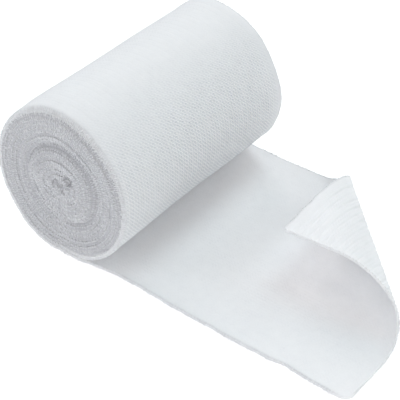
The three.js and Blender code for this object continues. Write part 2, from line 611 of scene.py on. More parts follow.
class MeshMaker:
    """Collects vertices and faces, in mm in the row frame, and makes one mesh of them."""

    def __init__(self) -> None:
        """Starts with nothing."""
        self.points: list[np.ndarray] = []
        self.coords: list[np.ndarray] = []
        self.faces: list[np.ndarray] = []
        self.count = 0

    def add_points(self, points: np.ndarray, coords: np.ndarray) -> np.ndarray:
        """Adds points with their strip coordinates.

        Args:
            points: Points, with any leading shape.
            coords: Strip coordinates of the same shape.

        Returns:
            Their vertex numbers, in the leading shape.
        """
        shape = points.shape[:-1]
        total = int(np.prod(shape))
        self.points.append(points.reshape(-1, 3))
        self.coords.append(coords.reshape(-1, 3))
        numbers = np.arange(self.count, self.count + total).reshape(shape)
        self.count += total
        return numbers

    def add_faces(self, faces: np.ndarray) -> None:
        """Adds triangles or quads, one a row."""
        self.faces.append(faces)

    def add_grid(self, numbers: np.ndarray) -> None:
        """Adds quads between the neighbouring rows and columns of a grid of vertices."""
        quads = np.stack(
            [numbers[:-1, :-1], numbers[1:, :-1], numbers[1:, 1:], numbers[:-1, 1:]], axis=-1
        )
        self.add_faces(quads.reshape(-1, 4))

    def zip_lines(self, behind: np.ndarray, ahead: np.ndarray) -> None:
        """Adds triangles between two lines of vertices that may have different counts.

        Args:
            behind: Vertex numbers of one line.
            ahead: Vertex numbers of the next line.
        """
        triangles = []
        a, b = 0, 0
        last_a, last_b = len(behind) - 1, len(ahead) - 1
        while a < last_a or b < last_b:
            if a < last_a and (b == last_b or (a + 1) / last_a <= (b + 1) / last_b):
                triangles.append((behind[a], ahead[b], behind[a + 1]))
                a += 1
            else:
                triangles.append((behind[a], ahead[b], ahead[b + 1]))
                b += 1
        self.add_faces(np.array(triangles))

    def make(self, name: str, smooth_angle: float | None = None) -> bpy.types.Object:
        """Makes the object.

        Args:
            name: Name of the piece.
            smooth_angle: Edges sharper than this angle stay sharp.

        Returns:
            The object, linked to the scene.
        """
        points = np.concatenate(self.points) * MM
        coords = np.concatenate(self.coords)
        mesh = bpy.data.meshes.new(name)
        faces = [face for block in self.faces for face in block.tolist()]
        mesh.from_pydata(points.tolist(), [], faces)
        mesh.polygons.foreach_set("use_smooth", np.ones(len(faces), dtype=bool))
        attribute = mesh.attributes.new(STRIP_COORDS, "FLOAT_VECTOR", "POINT")
        attribute.data.foreach_set("vector", coords.astype(np.float32).ravel())
        if smooth_angle is not None:
            mesh.set_sharp_from_angle(angle=smooth_angle)
        mesh.update()
        piece = bpy.data.objects.new(name, mesh)
        bpy.context.scene.collection.objects.link(piece)
        return piece


@dataclass
class ClothPiece(ABC):
    """A piece of the bandage, all of which is one cloth on one body.

    Attributes:
        form: Where the cloth lies.
        seat: Middle of the roll's foot in the row frame, mm.
    """

    form: StripForm
    seat: np.ndarray

    @abstractmethod
    def build(self) -> bpy.types.Object:
        """Makes the piece's mesh."""

    def dress(self, material: bpy.types.Material) -> bpy.types.Object:
        """Builds the piece and gives it its finish and its body.

        Args:
            material: Its material.

        Returns:
            The piece.
        """
        piece = self.build()
        piece.data.materials.append(material)
        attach(piece, "root")
        return piece


@dataclass
class BandageStrip(ClothPiece):
    """The woven strip itself, from the core of the roll to the cut end.

    Attributes:
        hidden_step: Longest distance between rows in the inner turns, mm.
        core_turn: Longest turn between rows near the core, radians.
        shown_step: Distance between rows in the outer turn and the flat tail, mm.
        fold_step: Distance between rows in the turned corner, mm.
        corner_rows: Rows in the rounding of the cut corners.
        columns_per_rib: Columns of vertices in each rib where the cloth shows.
        hidden_columns: Distances from an edge of the columns of the inner turns, mm.
        round_columns: Columns in the rounding of an edge.
        edge_fullness: Power that makes the rounded edge fuller than a half circle.
        sharp_angle: Edges sharper than this angle stay sharp.
    """

    hidden_step: float = 2.3
    core_turn: float = 0.17
    shown_step: float = 3.0
    fold_step: float = 2.0
    corner_rows: int = 10
    columns_per_rib: int = 4
    hidden_columns: tuple[float, ...] = (0.8, 1.8, 4.0, 8.0, 24.0)
    round_columns: int = 4
    edge_fullness: float = 0.55
    sharp_angle: float = math.radians(55)

    def _edge_columns(self) -> tuple[np.ndarray, np.ndarray]:
        """Columns of one rounded edge.

        Returns:
            Distances from the edge, mm, and shares of the thickness.
        """
        turn = np.linspace(math.pi / 2, 0, self.round_columns, endpoint=False)
        inset = self.form.edge_round * (1 - np.sin(turn))
        return inset, np.cos(turn).clip(0) ** self.edge_fullness

    def _columns(self, inner: np.ndarray) -> tuple[np.ndarray, np.ndarray]:
        """All columns of a row.

        Args:
            inner: Places across of the columns between the two rounded edges.

        Returns:
            Places across, as shares of half the width, and shares of the thickness.
        """
        half = self.form.width / 2
        inset, share = self._edge_columns()
        across = np.concatenate([-half + inset, inner, (half - inset)[::-1]]) / half
        shares = np.concatenate([share, np.ones(len(inner)), share[::-1]])
        return across, shares

    def _add_rows(
        self, maker: MeshMaker, along: np.ndarray, columns: tuple[np.ndarray, np.ndarray]
    ) -> tuple[np.ndarray, np.ndarray]:
        """Adds the vertices of some rows, with both faces meeting at the two edges.

        Args:
            maker: Collects the mesh.
            along: Places of the rows.
            columns: What _columns gives.

        Returns:
            Vertex numbers of the upper and the lower face.
        """
        form = self.form
        shares, fullness = columns
        run = np.broadcast_to(along[:, None], (len(along), len(shares)))
        flat_across = shares[None, :] * form.width / 2
        across = flat_across - shares[None, :] * form.corner_inset(run, shares[None, :])
        middle = form.ribs(run, flat_across)
        half = form.half_thickness(run, flat_across) * fullness[None, :]
        upper = form.place(run, across, form.upper_ribs * middle + half) + self.seat
        lower = form.place(run, across, middle - half) + self.seat
        coords = np.stack([run, across, form.tension(run, across)], axis=-1)
        upper_numbers = maker.add_points(upper, coords)
        inner = maker.add_points(lower[:, 1:-1], coords[:, 1:-1])
        lower_numbers = np.concatenate([upper_numbers[:, :1], inner, upper_numbers[:, -1:]], axis=1)
        return upper_numbers, lower_numbers

    def _hidden_rows(self, end: float) -> np.ndarray:
        """Places of the rows of the inner turns, closer together near the core.

        Args:
            end: Where the first row that shows lies along the strip, mm.

        Returns:
            The distances along the strip, mm.
        """
        form = self.form
        rows = [-form.wound_length]
        while rows[-1] < end - self.hidden_step:
            left = form.outer_radius**2 + form.pitch * rows[-1] / math.pi
            radius = math.sqrt(max(left, form.inner_radius**2))
            rows.append(rows[-1] + min(self.hidden_step, self.core_turn * radius))
        return np.array(rows[:-1])

    def _shown_rows(self) -> np.ndarray:
        """Places of the rows of the outer turn, the tail and the rounded cut corners.

        Returns:
            The distances along the strip, mm.
        """
        form = self.form
        start = -form.outer_turn_length
        flat_rows = int((form.flat_length - start) / self.shown_step)
        flat = np.linspace(start, form.flat_length, flat_rows, endpoint=False)
        fold_rows = int((form.turned_length - form.near_corner_radius) / self.fold_step)
        corner = form.cut_end - form.near_corner_radius
        fold = np.linspace(form.flat_length, corner, fold_rows, endpoint=False)
        turn = np.linspace(0, math.pi / 2, self.corner_rows)
        return np.concatenate([flat, fold, corner + form.near_corner_radius * np.sin(turn)])

    def build(self) -> bpy.types.Object:
        """Makes the strip's mesh, from the core to the cut end.

        Returns:
            The strip.
        """
        form = self.form
        half = form.width / 2
        maker = MeshMaker()
        inner = np.array(self.hidden_columns)
        sparse = self._columns(np.concatenate([-half + inner, (half - inner)[::-1]]))
        reach = half - form.edge_round
        count = int(2 * reach / form.rib_spacing * self.columns_per_rib)
        dense = self._columns(np.linspace(-reach, reach, count))
        hidden = self._add_rows(maker, self._hidden_rows(-form.outer_turn_length), sparse)
        shown = self._add_rows(maker, self._shown_rows(), dense)
        for upper, lower in (hidden, shown):
            maker.add_grid(upper)
            maker.add_grid(lower[:, ::-1])
        hidden_upper, hidden_lower = hidden
        shown_upper, shown_lower = shown
        maker.zip_lines(hidden_upper[-1], shown_upper[0])
        maker.zip_lines(hidden_lower[-1][::-1], shown_lower[0][::-1])
        self._cap(maker, hidden_upper[0], hidden_lower[0])
        self._cap(maker, shown_lower[-1], shown_upper[-1])
        return maker.make("bandage_strip_cloth", self.sharp_angle)

    @staticmethod
    def _cap(maker: MeshMaker, line: np.ndarray, other: np.ndarray) -> None:
        """Closes an end of the strip between its two faces.

        Args:
            maker: Collects the mesh.
            line: Vertex numbers of the end of one face.
            other: Those of the other face, which shares the first and the last of them.
        """
        maker.add_faces(np.array([[line[0], line[1], other[1]]]))
        maker.add_faces(np.array([[line[-1], other[-2], line[-2]]]))
        quads = np.stack([line[1:-2], line[2:-1], other[2:-1], other[1:-2]], axis=-1)
        maker.add_faces(quads)

    def dress(self, material: bpy.types.Material) -> bpy.types.Object:
        """Args:
            material: The cloth's material.

        Returns:
            The strip.
        """
        piece = super().dress(material)
        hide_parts(STRIP_NODE)
        return piece


STRAIGHT_YARN_PLANE = 1e-6 * np.array([0.3, 0.5, 0.8])  # plane of a yarn that doesn't bend


def add_yarns(
    maker: MeshMaker, paths: np.ndarray, coords: np.ndarray, radii: np.ndarray, sides: int
) -> None:
    """Adds many short yarns as closed tubes.

    Args:
        maker: Collects the mesh.
        paths: Points of the yarns, by yarn, point and axis, mm.
        coords: Strip coordinates of the same points.
        radii: Radius of each yarn at each point, mm.
        sides: Sides of a tube.
    """
    run = np.gradient(paths, axis=1)
    run /= np.linalg.norm(run, axis=-1, keepdims=True)
    chord = paths[:, -1] - paths[:, 0]
    bend = paths[:, paths.shape[1] // 2] - (paths[:, 0] + paths[:, -1]) / 2
    plane = np.cross(chord, bend)
    plane += STRAIGHT_YARN_PLANE
    plane = np.broadcast_to(plane[:, None, :], run.shape)
    side = np.cross(run, plane)
    side /= np.linalg.norm(side, axis=-1, keepdims=True)
    up = np.cross(side, run)
    turn = np.arange(sides) * 2 * math.pi / sides
    ring = (
        side[:, :, None, :] * np.cos(turn)[:, None] + up[:, :, None, :] * np.sin(turn)[:, None]
    )
    points = paths[:, :, None, :] + ring * radii[:, :, None, None]
    spread = np.broadcast_to(coords[:, :, None, :], points.shape)
    numbers = maker.add_points(points, spread)
    following = np.roll(numbers, -1, axis=2)
    quads = np.stack(
        [numbers[:, :-1], following[:, :-1], following[:, 1:], numbers[:, 1:]], axis=-1
    )
    maker.add_faces(quads.reshape(-1, 4))
    maker.add_faces(numbers[:, 0, ::-1])
    maker.add_faces(numbers[:, -1])


@dataclass
class SelvageLoops(ClothPiece):
    """Small loops of weft yarn along one selvage, in a row at each face of the strip.

    Attributes:
        selvage: Which edge.
        margin: How far the loops keep from the core's end and from the cut corner, mm.
        pitch: Distance between the loops of a row, mm.
        shift: How far a loop may stand out of its place along the strip, mm.
        slant: How far along the strip a loop may lean, mm.
        radius: Radius of the yarn, mm.
        fullness: Thinnest and fullest yarn, as shares of that radius.
        start: How far in from the edge a loop starts, mm.
        stand_out: How far past the edge the middle of the yarn may stand, mm.
        standing: Least and most of that for a loop, as shares.
        bend: Share of a loop at which it turns back over the cloth.
        hold: How far a loop reaches in over the cloth, mm.
        low: Share of the half thickness at which a loop starts.
        rise: Share of a loop that it takes to reach the face of the cloth.
        sink: How far the yarn sinks into that face, mm.
        points: Points along a loop.
        sides: Sides of the yarn.
        seed: Seed of the loops' unevenness.
    """

    selvage: Selvage
    margin: float = 1.0
    pitch: float = 0.84
    shift: float = 0.25
    slant: Span = (-0.3, 0.5)
    radius: float = 0.23
    fullness: Span = (0.7, 1.2)
    start: float = 0.3
    stand_out: float = 0.35
    standing: Span = (-0.3, 1.0)
    bend: float = 0.42
    hold: float = 0.6
    low: float = 0.12
    rise: float = 0.8
    sink: float = 0.1
    points: int = 5
    sides: int = 4
    seed: int = 5

    def _row(
        self, face: int, draw: np.random.Generator
    ) -> tuple[np.ndarray, np.ndarray, np.ndarray]:
        """Lays out the loops at one face.

        Args:
            face: 1 for the upper face of the strip, -1 for the lower one.
            draw: Random numbers.

        Returns:
            Points of the loops in mm, their strip coordinates and the yarns' radii.
        """
        form = self.form
        near = self.selvage is Selvage.NEAR
        corner = form.near_corner_radius if near else form.far_corner_radius
        length = form.wound_length + form.cut_end - corner
        count = int((length - 2 * self.margin) / self.pitch)
        place = -form.wound_length + self.margin + np.arange(count) * self.pitch
        place = place + draw.uniform(-self.shift, self.shift, count)
        out = (self.stand_out * draw.uniform(*self.standing, count))[:, None]
        slant = draw.uniform(*self.slant, count)
        share = np.linspace(0, 1, self.points)[None, :]
        along = place[:, None] + slant[:, None] * share
        outward = self.start - (self.start + out) * np.sin(share / self.bend * math.pi / 2)
        back = (share - self.bend).clip(0) / (1 - self.bend)
        from_edge = np.where(share < self.bend, outward, -out + (self.hold + out) * back**2)
        across = self.selvage.value * (form.width / 2 - from_edge)
        half = form.half_thickness(along, across)
        rise = np.sin(np.minimum(share / self.rise, 1) * math.pi / 2)
        rise = self.low + (1 - self.low) * rise
        lift = face * rise * (half - self.sink) + form.ribs(along, across)
        coords = np.stack([along, across, form.tension(along, across)], axis=-1)
        radii = self.radius * draw.uniform(*self.fullness, (count, 1)) * np.ones((1, self.points))
        return form.place(along, across, lift) + self.seat, coords, radii

    def build(self) -> bpy.types.Object:
        """Makes all the loops of this selvage as one mesh.

        Returns:
            The loops.
        """
        draw = np.random.default_rng(self.seed)
        maker = MeshMaker()
        for face in (1, -1):
            add_yarns(maker, *self._row(face, draw), self.sides)
        return maker.make(f"{self.selvage.name.lower()}_selvage_loops")


@dataclass
class CutEndThreads(ClothPiece):
    """Short ends of the lengthwise yarns, which stand out of the cut end.

    Attributes:
        spacing: Distance between yarns across the strip, mm.
        shift: How far a yarn may stand out of its place across the strip, mm.
        radius: Radius of a yarn, mm.
        taper: Share of that radius that is gone at the tip.
        root: Length of a yarn inside the cloth, mm.
        shortest: How far the shortest end stands out, as a share of the longest.
        longest: How far the longest end stands out, mm.
        shortness: Power that makes most ends short.
        sway: How far a tip may swing across the strip, mm.
        depth: How far from the middle of the cloth a yarn may lie, as a share of its half.
        bend: How far a tip may bend down or up, as shares of the cloth's half.
        points: Points along a yarn.
        sides: Sides of a yarn.
        seed: Seed of the ends' unevenness.
    """

    spacing: float = 0.5
    shift: float = 0.12
    radius: float = 0.19
    taper: float = 0.45
    root: float = 1.2
    shortest: float = 0.15
    longest: float = 1.0
    shortness: float = 1.6
    sway: float = 0.4
    depth: float = 0.45
    bend: Span = (-0.5, 0.3)
    points: int = 5
    sides: int = 5
    seed: int = 8

    def build(self) -> bpy.types.Object:
        """Makes all the yarn ends as one mesh.

        Returns:
            The yarn ends.
        """
        form = self.form
        draw = np.random.default_rng(self.seed)
        near = -form.width / 2 + form.near_corner_radius
        far = form.width / 2 - form.far_corner_radius
        count = int((far - near) / self.spacing)
        across = np.linspace(near, far, count) + draw.uniform(-self.shift, self.shift, count)
        out = draw.uniform(self.shortest, 1, count) ** self.shortness * self.longest
        share = np.linspace(0, 1, self.points)[None, :]
        along = form.cut_end - self.root + (self.root + out[:, None]) * share
        sway = draw.uniform(-self.sway, self.sway, (count, 1)) * share**2
        side = draw.uniform(-self.depth, self.depth, (count, 1))
        side = side + draw.uniform(*self.bend, (count, 1)) * share**2
        spread = across[:, None] + sway
        lift = side * form.half_thickness(along, spread) + form.ribs(along, spread)
        paths = form.place(along, spread, lift) + self.seat
        coords = np.stack([along, spread, form.tension(along, spread)], axis=-1)
        radii = self.radius * np.ones((count, 1)) * (1 - self.taper * share**3)
        maker = MeshMaker()
        add_yarns(maker, paths, coords, radii, self.sides)
        return maker.make("cut_end_threads")


@dataclass(frozen=True)
class WeaveWave:
    """One wave of the crepe weave's relief.

    Attributes:
        ribs: Waves across the strip in one rib repeat.
        picks: Waves along the strip in one pick repeat.
        depth: Its share of the relief.
        shift: Its phase, degrees.
    """

    ribs: int
    picks: int
    depth: float
    shift: float


WEAVE_WAVES = (
    WeaveWave(ribs=2, picks=1, depth=0.46, shift=0),
    WeaveWave(ribs=2, picks=0, depth=0.26, shift=25),
    WeaveWave(ribs=0, picks=2, depth=0.24, shift=0),
    WeaveWave(ribs=1, picks=2, depth=0.15, shift=60),
    WeaveWave(ribs=1, picks=-1, depth=0.14, shift=0),
    WeaveWave(ribs=2, picks=-1, depth=0.11, shift=-90),
    WeaveWave(ribs=1, picks=1, depth=0.10, shift=-150),
    WeaveWave(ribs=1, picks=0, depth=0.08, shift=0),
)


class NodeTree:
    """Adds nodes to a tree and links them, with few words."""

    def __init__(self, tree: bpy.types.NodeTree) -> None:
        """Takes the tree to add to."""
        self.tree = tree

    def add(self, kind: str, **settings: object) -> bpy.types.Node:
        """Adds a node.

        Args:
            kind: Its type.
            **settings: Its settings by name.

        Returns:
            The node.
        """
        node = self.tree.nodes.new(kind)
        for name, value in settings.items():
            setattr(node, name, value)
        return node

    def feed(self, socket: bpy.types.NodeSocket, value: object) -> None:
        """Links a socket to another one, or sets its value.

        Args:
            socket: The input to feed.
            value: An output, or a plain value.
        """
        if isinstance(value, bpy.types.NodeSocket):
            self.tree.links.new(value, socket)
        else:
            socket.default_value = value

    def math(self, operation: str, *values: object) -> bpy.types.NodeSocket:
        """Adds a Math node.

        Args:
            operation: What it does.
            *values: What its inputs are fed.

        Returns:
            Its output.
        """
        node = self.add("ShaderNodeMath", operation=operation)
        for socket, value in zip(node.inputs, values):
            self.feed(socket, value)
        return node.outputs[0]

    def product(self, first: object, *others: object) -> bpy.types.NodeSocket:
        """Adds Math nodes that multiply values.

        Args:
            first: The first value.
            *others: The values to multiply it by, in order.

        Returns:
            The last node's output.
        """
        for other in others:
            first = self.math("MULTIPLY", first, other)
        return first

    def mix_colour(self, share: object, first: object, second: object) -> bpy.types.NodeSocket:
        """Adds a Mix node for colours, whose sockets follow those of its other modes.

        Args:
            share: Share of the second colour.
            first: The first colour.
            second: The second colour.

        Returns:
            Its output.
        """
        node = self.add("ShaderNodeMix", data_type="RGBA")
        self.feed(node.inputs[0], share)
        self.feed(node.inputs[6], first)
        self.feed(node.inputs[7], second)
        return node.outputs[2]

    def ramp(self, value: object, span: Span) -> bpy.types.NodeSocket:
        """Adds a Map Range node.

        Args:
            value: What it reads.
            span: Values that it turns into 0 and 1.

        Returns:
            Its output.
        """
        node = self.add("ShaderNodeMapRange")
        self.feed(node.inputs["Value"], value)
        self.feed(node.inputs["From Min"], span[0])
        self.feed(node.inputs["From Max"], span[1])
        return node.outputs[0]

    def noise(self, vector: object, scale: object, detail: float) -> bpy.types.Node:
        """Adds a Noise Texture.

        Args:
            vector: Where it is read.
            scale: Its scale.
            detail: Its detail.

        Returns:
            The node.
        """
        node = self.add("ShaderNodeTexNoise")
        self.feed(node.inputs["Vector"], vector)
        self.feed(node.inputs["Scale"], scale)
        self.feed(node.inputs["Detail"], detail)
        return node

    def vector_math(
        self, operation: str, *values: object, scale: object = None
    ) -> bpy.types.NodeSocket:
        """Adds a Vector Math node.

        Args:
            operation: What it does.
            *values: What its vector inputs are fed.
            scale: What its scale is fed, where it has one.

        Returns:
            Its vector output.
        """
        node = self.add("ShaderNodeVectorMath", operation=operation)
        for socket, value in zip(node.inputs, values):
            self.feed(socket, value)
        if scale is not None:
            self.feed(node.inputs["Scale"], scale)
        return node.outputs[0]


def new_group(
    name: str, inputs: dict[str, tuple[str, object]], outputs: Sequence[str]
) -> tuple[NodeTree, bpy.types.Node, bpy.types.Node]:
    """Starts a shader node group.

    Args:
        name: Name of the group.
        inputs: Socket type and default value by input name.
        outputs: Names of its value outputs.

    Returns:
        The group's tree, its input node and its output node.
    """
    group = bpy.data.node_groups.new(name, "ShaderNodeTree")
    for label, (kind, default) in inputs.items():
        socket = group.interface.new_socket(label, in_out="INPUT", socket_type=kind)
        if default is not None:
            socket.default_value = default
    for label in outputs:
        group.interface.new_socket(label, in_out="OUTPUT", socket_type="NodeSocketFloat")
    tree = NodeTree(group)
    return tree, tree.add("NodeGroupInput"), tree.add("NodeGroupOutput")


@dataclass(frozen=True)
class CrepeWeave:
    """Relief and shade of the crepe weave, in strip coordinates.

    Attributes:
        rib_repeat: Distance across the strip in which the weave repeats, mm.
        pick_repeat: Distance along the strip in which it repeats, mm.
        wobble: How far the weave wanders, mm.
        wobble_scale: Scale of that wandering, per mm.
        near_selvage: Where the near selvage starts across the strip, mm.
        far_selvage: Where the far selvage starts across the strip, mm.
        near_span: How the weave fades in from the near selvage, mm.
        far_span: How it fades in from the far selvage, mm.
        relief: Share of the height that the relief takes.
        hollow_span: Relief from which the hollows get painted shade, and where it is full.
        slack_shade: Share of that painted shade where the weave isn't drawn open.
        packed_from: Where the turns start to lie packed inside the roll, along the strip, mm.
        packed_span: How that sets in, mm.
        edge_span: Where the edge's painted shade starts and where it is full, from the
        strip's middle, mm.
        loose_edge: Share of the edge's painted shade where turns don't lie packed.
    """

    rib_repeat: float = 2.98
    pick_repeat: float = 1.63
    wobble: float = 0.6
    wobble_scale: float = 0.3
    near_selvage: float = -49.2
    far_selvage: float = 46.6
    near_span: Span = (-1.0, 1.0)
    far_span: Span = (-2.5, 3.5)
    relief: float = 0.5
    hollow_span: Span = (0.35, -0.45)
    slack_shade: float = 0.45
    packed_from: float = -210.0
    packed_span: Span = (-20.0, 20.0)
    edge_span: Span = (48.9, 49.9)
    loose_edge: float = 0.25

    def _waves(self, tree: NodeTree, ribs: object, picks: object) -> bpy.types.NodeSocket:
        """Adds up the waves of the weave.

        Args:
            tree: The group's tree.
            ribs: Phase of the repeat across the strip.
            picks: Phase of the repeat along the strip.

        Returns:
            Their sum.
        """
        total: object = 0.0
        for wave in WEAVE_WAVES:
            phase = tree.math("MULTIPLY_ADD", ribs, float(wave.ribs), math.radians(wave.shift))
            phase = tree.math("MULTIPLY_ADD", picks, float(wave.picks), phase)
            total = tree.math("MULTIPLY_ADD", tree.math("COSINE", phase), wave.depth, total)
        return total

    def group(self) -> bpy.types.NodeTree:
        """Makes the weave's node group.

        Returns:
            The group. It gives the height, the painted shade of the hollows and of the edge,
            and where the turns lie packed, which places painted shade between them.
        """
        tree, given, result = new_group(
            "crepe_weave",
            {
                "Strip": ("NodeSocketVector", None),
                "Rib Repeat": ("NodeSocketFloat", self.rib_repeat),
                "Pick Repeat": ("NodeSocketFloat", self.pick_repeat),
                "Wobble": ("NodeSocketFloat", self.wobble),
                "Near Selvage": ("NodeSocketFloat", self.near_selvage),
                "Far Selvage": ("NodeSocketFloat", self.far_selvage),
                "Packed From": ("NodeSocketFloat", self.packed_from),
            },
            ("Height", "Hollow", "Edge", "Packed"),
        )
        strip = given.outputs["Strip"]
        noise = tree.noise(strip, self.wobble_scale, detail=2.0)
        shift = tree.vector_math("SUBTRACT", noise.outputs["Color"], (0.5, 0.5, 0.5))
        shift = tree.vector_math("SCALE", shift, scale=given.outputs["Wobble"])
        axes = tree.add("ShaderNodeSeparateXYZ")
        tree.feed(axes.inputs[0], tree.vector_math("ADD", strip, shift))
        along, across, tension = axes.outputs
        turn = 2 * math.pi
        picks = tree.math("DIVIDE", tree.product(along, turn), given.outputs["Pick Repeat"])
        ribs = tree.math("DIVIDE", tree.product(across, turn), given.outputs["Rib Repeat"])
        waves = self._waves(tree, ribs, picks)
        from_near = tree.math("SUBTRACT", across, given.outputs["Near Selvage"])
        from_far = tree.math("SUBTRACT", given.outputs["Far Selvage"], across)
        near, far = tree.ramp(from_near, self.near_span), tree.ramp(from_far, self.far_span)
        drawn = tree.product(near, far, tension)
        relief = tree.product(waves, self.relief, drawn)
        tree.feed(result.inputs["Height"], tree.math("ADD", relief, 0.5))
        # Painted shade in the weave's hollows, fuller where the weave is drawn open.
        shade = tree.math("MULTIPLY_ADD", tension, 1 - self.slack_shade, self.slack_shade)
        hollow = tree.product(tree.ramp(relief, self.hollow_span), shade)
        tree.feed(result.inputs["Hollow"], hollow)
        # Where the turns lie packed; it places the painted shade between them at the edge and on
        # bare yarns.
        inner = tree.math("SUBTRACT", given.outputs["Packed From"], along)
        packed = tree.ramp(inner, self.packed_span)
        tree.feed(result.inputs["Packed"], packed)
        # Painted shade at the edge between the loops of yarn, fuller between packed turns.
        share = tree.math("MULTIPLY_ADD", packed, 1 - self.loose_edge, self.loose_edge)
        aside = tree.math("ABSOLUTE", across)
        tree.feed(result.inputs["Edge"], tree.product(tree.ramp(aside, self.edge_span), share))
        return tree.tree


def cotton_group() -> bpy.types.NodeTree:
    """Makes the node group of cotton's fine fuzz and slow change of tone.

    Returns:
        The group.
    """
    tree, given, result = new_group(
        "cotton",
        {
            "Vector": ("NodeSocketVector", None),
            "Fuzz Scale": ("NodeSocketFloat", 1700.0),
            "Tone Scale": ("NodeSocketFloat", 26.0),
        },
        ("Fuzz", "Tone"),
    )
    for effect in ("Fuzz", "Tone"):
        scale = given.outputs[f"{effect} Scale"]
        noise = tree.noise(given.outputs["Vector"], scale, detail=3.0)
        tree.feed(result.inputs[effect], noise.outputs["Fac"])
    return tree.tree


@dataclass(frozen=True)
class CottonFinish:
    """Matte white cotton: the woven cloth, or its bare yarns where there is no weave.

    Attributes:
        name: Name of the material.
        light: Colour where the cotton is fullest.
        dull_and_shade: Colour of its slow darker patches. On bare yarns it is painted shade, laid
        only inside the roll between the packed turns.
        hollow: Colour of the painted shade in the hollows of the weave.
        edge: Colour of the painted shade at the edge, between its loops of yarn and the
        packed turns.
        weave_depth: Depth of the weave's relief, mm, or none on bare yarns.
        fuzz_depth: Depth of the fuzz, mm.
        roughness: Roughness of the cotton.
        fuzz_gloss: How much less rough it is where the fuzz is full.
        specular: Its specular level.
        sheen: Weight of its soft sheen.
        sheen_roughness: Roughness of that sheen.
        scatter: Share of the light that travels through the cotton.
        scatter_length: How far that light travels, mm.
        scatter_tint: How far red, green and blue travel, as shares of that.
    """

    name: str
    light: Colour = (0.935, 0.932, 0.937, 1)
    dull_and_shade: Colour = (0.865, 0.865, 0.87, 1)
    hollow: Colour = (0.615, 0.63, 0.67, 1)
    edge: Colour = (0.49, 0.49, 0.52, 1)
    weave_depth: float = 0.0
    fuzz_depth: float = 0.045
    roughness: float = 0.95
    fuzz_gloss: float = 0.1
    specular: float = 0.25
    sheen: float = 0.15
    sheen_roughness: float = 0.6
    scatter: float = 0.4
    scatter_length: float = 2.0
    scatter_tint: tuple[float, float, float] = (1, 0.97, 0.94)

    def material(self, weave: bpy.types.NodeTree, cotton: bpy.types.NodeTree) -> bpy.types.Material:
        """Makes the material.

        Args:
            weave: The crepe weave's node group.
            cotton: The cotton's node group.

        Returns:
            The material.
        """
        material = bpy.data.materials.new(self.name)
        material.use_nodes = True
        tree = NodeTree(material.node_tree)
        place = tree.add("ShaderNodeTexCoord")
        fibres = tree.add("ShaderNodeGroup", node_tree=cotton)
        tree.feed(fibres.inputs["Vector"], place.outputs["Object"])
        fuzz, tone = fibres.outputs["Fuzz"], fibres.outputs["Tone"]
        strip = tree.add("ShaderNodeAttribute", attribute_name=STRIP_COORDS)
        cloth = tree.add("ShaderNodeGroup", node_tree=weave)
        tree.feed(cloth.inputs["Strip"], strip.outputs["Vector"])
        fullness = tree.math("SUBTRACT", tree.math("ADD", tone, fuzz), 0.5)
        colour = tree.mix_colour(fullness, self.dull_and_shade, self.light)
        height = tree.product(fuzz, self.fuzz_depth * MM)
        if self.weave_depth:
            # Painted shade in the weave's hollows.
            colour = tree.mix_colour(cloth.outputs["Hollow"], colour, self.hollow)
            # Painted shade at the edge, between the loops of yarn and the packed turns.
            colour = tree.mix_colour(cloth.outputs["Edge"], colour, self.edge)
            depth = self.weave_depth * MM
            height = tree.math("MULTIPLY_ADD", cloth.outputs["Height"], depth, height)
        else:
            # Bare yarns get painted shade inside the roll, where the turns lie packed.
            colour = tree.mix_colour(cloth.outputs["Packed"], self.light, colour)
        bump = tree.add("ShaderNodeBump")
        tree.feed(bump.inputs["Distance"], 1.0)
        tree.feed(bump.inputs["Height"], height)
        inputs = material.node_tree.nodes["Principled BSDF"].inputs
        rough = tree.math("MULTIPLY_ADD", fuzz, -self.fuzz_gloss, self.roughness)
        tree.feed(inputs["Base Color"], colour)
        tree.feed(inputs["Roughness"], rough)
        tree.feed(inputs["Normal"], bump.outputs["Normal"])
        tree.feed(inputs["Specular IOR Level"], self.specular)
        tree.feed(inputs["Subsurface Weight"], self.scatter)
        tree.feed(inputs["Subsurface Radius"], self.scatter_tint)
        tree.feed(inputs["Subsurface Scale"], self.scatter_length * MM)
        tree.feed(inputs["Sheen Weight"], self.sheen)
        tree.feed(inputs["Sheen Roughness"], self.sheen_roughness)
        return material


@dataclass(frozen=True)
class FloorFinish:
    """Pale matte floor with an even light of its own.

    Attributes:
        colour: Its colour.
        roughness: Its roughness.
        specular: Its specular level.
        glow: Strength of its own light.
    """

    colour: Colour = (0.93, 0.93, 0.93, 1)
    roughness: float = 0.9
    specular: float = 0.1
    glow: float = 0.37

    def material(self) -> bpy.types.Material:
        """Makes the material.

        Returns:
            The material.
        """
        material = bpy.data.materials.new("pale_floor")
        material.use_nodes = True
        inputs = material.node_tree.nodes["Principled BSDF"].inputs
        inputs["Base Color"].default_value = self.colour
        inputs["Roughness"].default_value = self.roughness
        inputs["Specular IOR Level"].default_value = self.specular
        inputs["Emission Color"].default_value = (1, 1, 1, 1)
        inputs["Emission Strength"].default_value = self.glow
        return material


def direction(azimuth: float, elevation: float) -> Vector:
    """Direction of an angle round the bandage, 0 in front of the roll's near end.

    Args:
        azimuth: The angle, radians.
        elevation: Height above the horizon, radians.

    Returns:
        The direction, of length 1.
    """
    return Vector((
        math.sin(azimuth) * math.cos(elevation),
        -math.cos(azimuth) * math.cos(elevation),
        math.sin(elevation),
    ))


